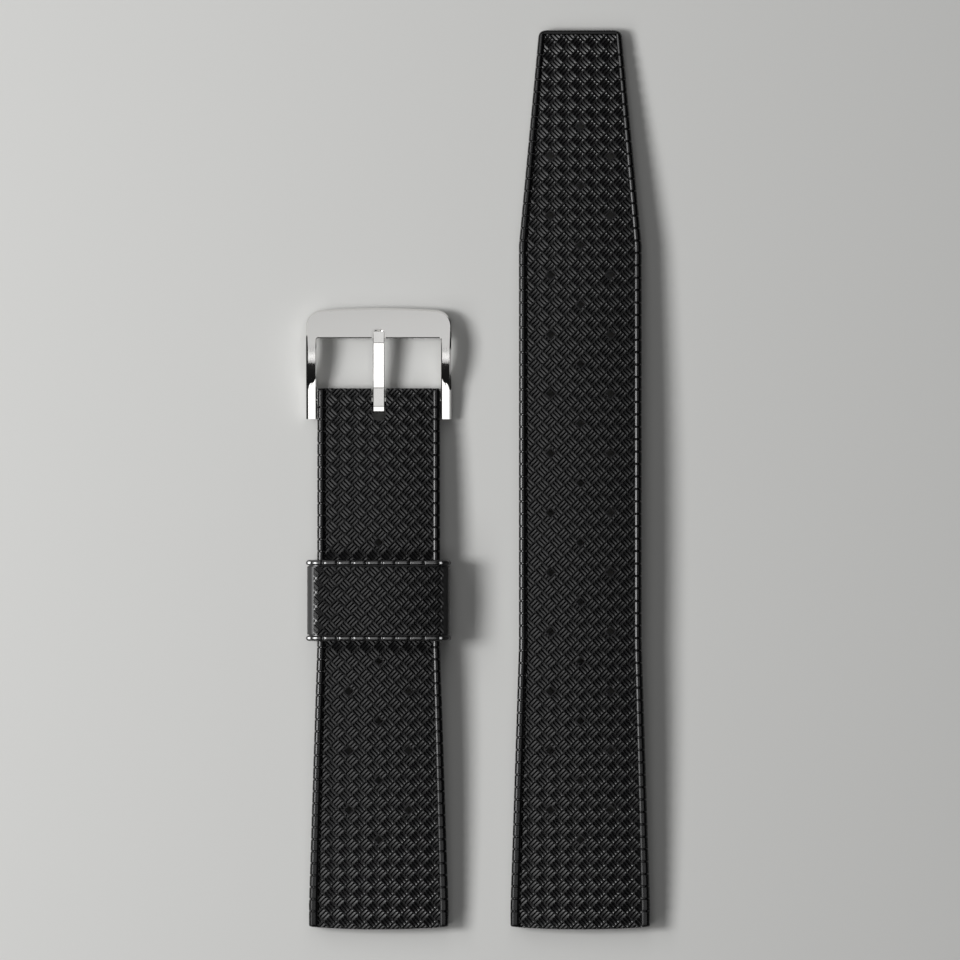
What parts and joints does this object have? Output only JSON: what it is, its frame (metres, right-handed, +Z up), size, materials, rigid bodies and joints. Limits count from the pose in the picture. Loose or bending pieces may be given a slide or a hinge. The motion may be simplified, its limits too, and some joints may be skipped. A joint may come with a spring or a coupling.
{
  "type": "rubber watch strap",
  "caption": "Two-piece black rubber watch strap with a woven relief, notched rims, diamond holes, a loose keeper and a steel pin buckle.",
  "frame": {"origin": "middle of the laid-out strap, on the surface that it lies on", "axes": "+X across the strap from the short half to the long half, +Y along it from the lug ends to the buckle and the tip, +Z up from the surface"},
  "size_m": [0.0494, 0.129, 0.0076],
  "materials": {
    "black_rubber": "matt moulded rubber with a fine woven relief",
    "satin_steel": "satin steel with polished edges",
    "bar_steel": "turned stainless steel",
    "spring_steel": "drawn spring wire"
  },
  "bodies": {
    "short_half": {"strap_buckle_half": "black_rubber", "springbar_tube": "bar_steel", "springbar_spring": "spring_steel"},
    "frame": {"buckle_frame": "satin_steel"},
    "tongue": {"buckle_tongue": "satin_steel"},
    "keeper_loop": {"keeper": "black_rubber"},
    "pin_left": {"springbar_pin_left": "bar_steel"},
    "pin_right": {"springbar_pin_right": "bar_steel"},
    "long_half": {"strap_tail_half": "black_rubber"}
  },
  "joints": [
    {"name": "frame_hinge", "type": "hinge", "parent": "short_half", "child": "frame", "pos_m": [-0.01425, 0.01138, 0.00175], "axis": [1, 0, 0], "range_deg": [-90, 45]},
    {"name": "tongue_hinge", "type": "hinge", "parent": "frame", "child": "tongue", "pos_m": [-0.01425, 0.01138, 0.00175], "axis": [1, 0, 0], "range_deg": [0, 70]},
    {"name": "keeper_slide", "type": "slide", "parent": "short_half", "child": "keeper_loop", "axis": [0, 1, 0], "range_m": [-0.007, 0.007]},
    {"name": "pin_left_press", "type": "slide", "parent": "short_half", "child": "pin_left", "axis": [1, 0, 0], "range_m": [0, 0.0012], "stiffness_N_per_m": 400, "springref_m": -0.001, "deforming": ["springbar_spring"]},
    {"name": "pin_right_press", "type": "slide", "parent": "short_half", "child": "pin_right", "axis": [-1, 0, 0], "range_m": [0, 0.0012], "stiffness_N_per_m": 400, "springref_m": -0.001, "deforming": ["springbar_spring"]},
    {"name": "tail_lift", "type": "slide", "parent": "short_half", "child": "long_half", "axis": [0, 0, 1], "range_m": [0, 0.04]}
  ]
}
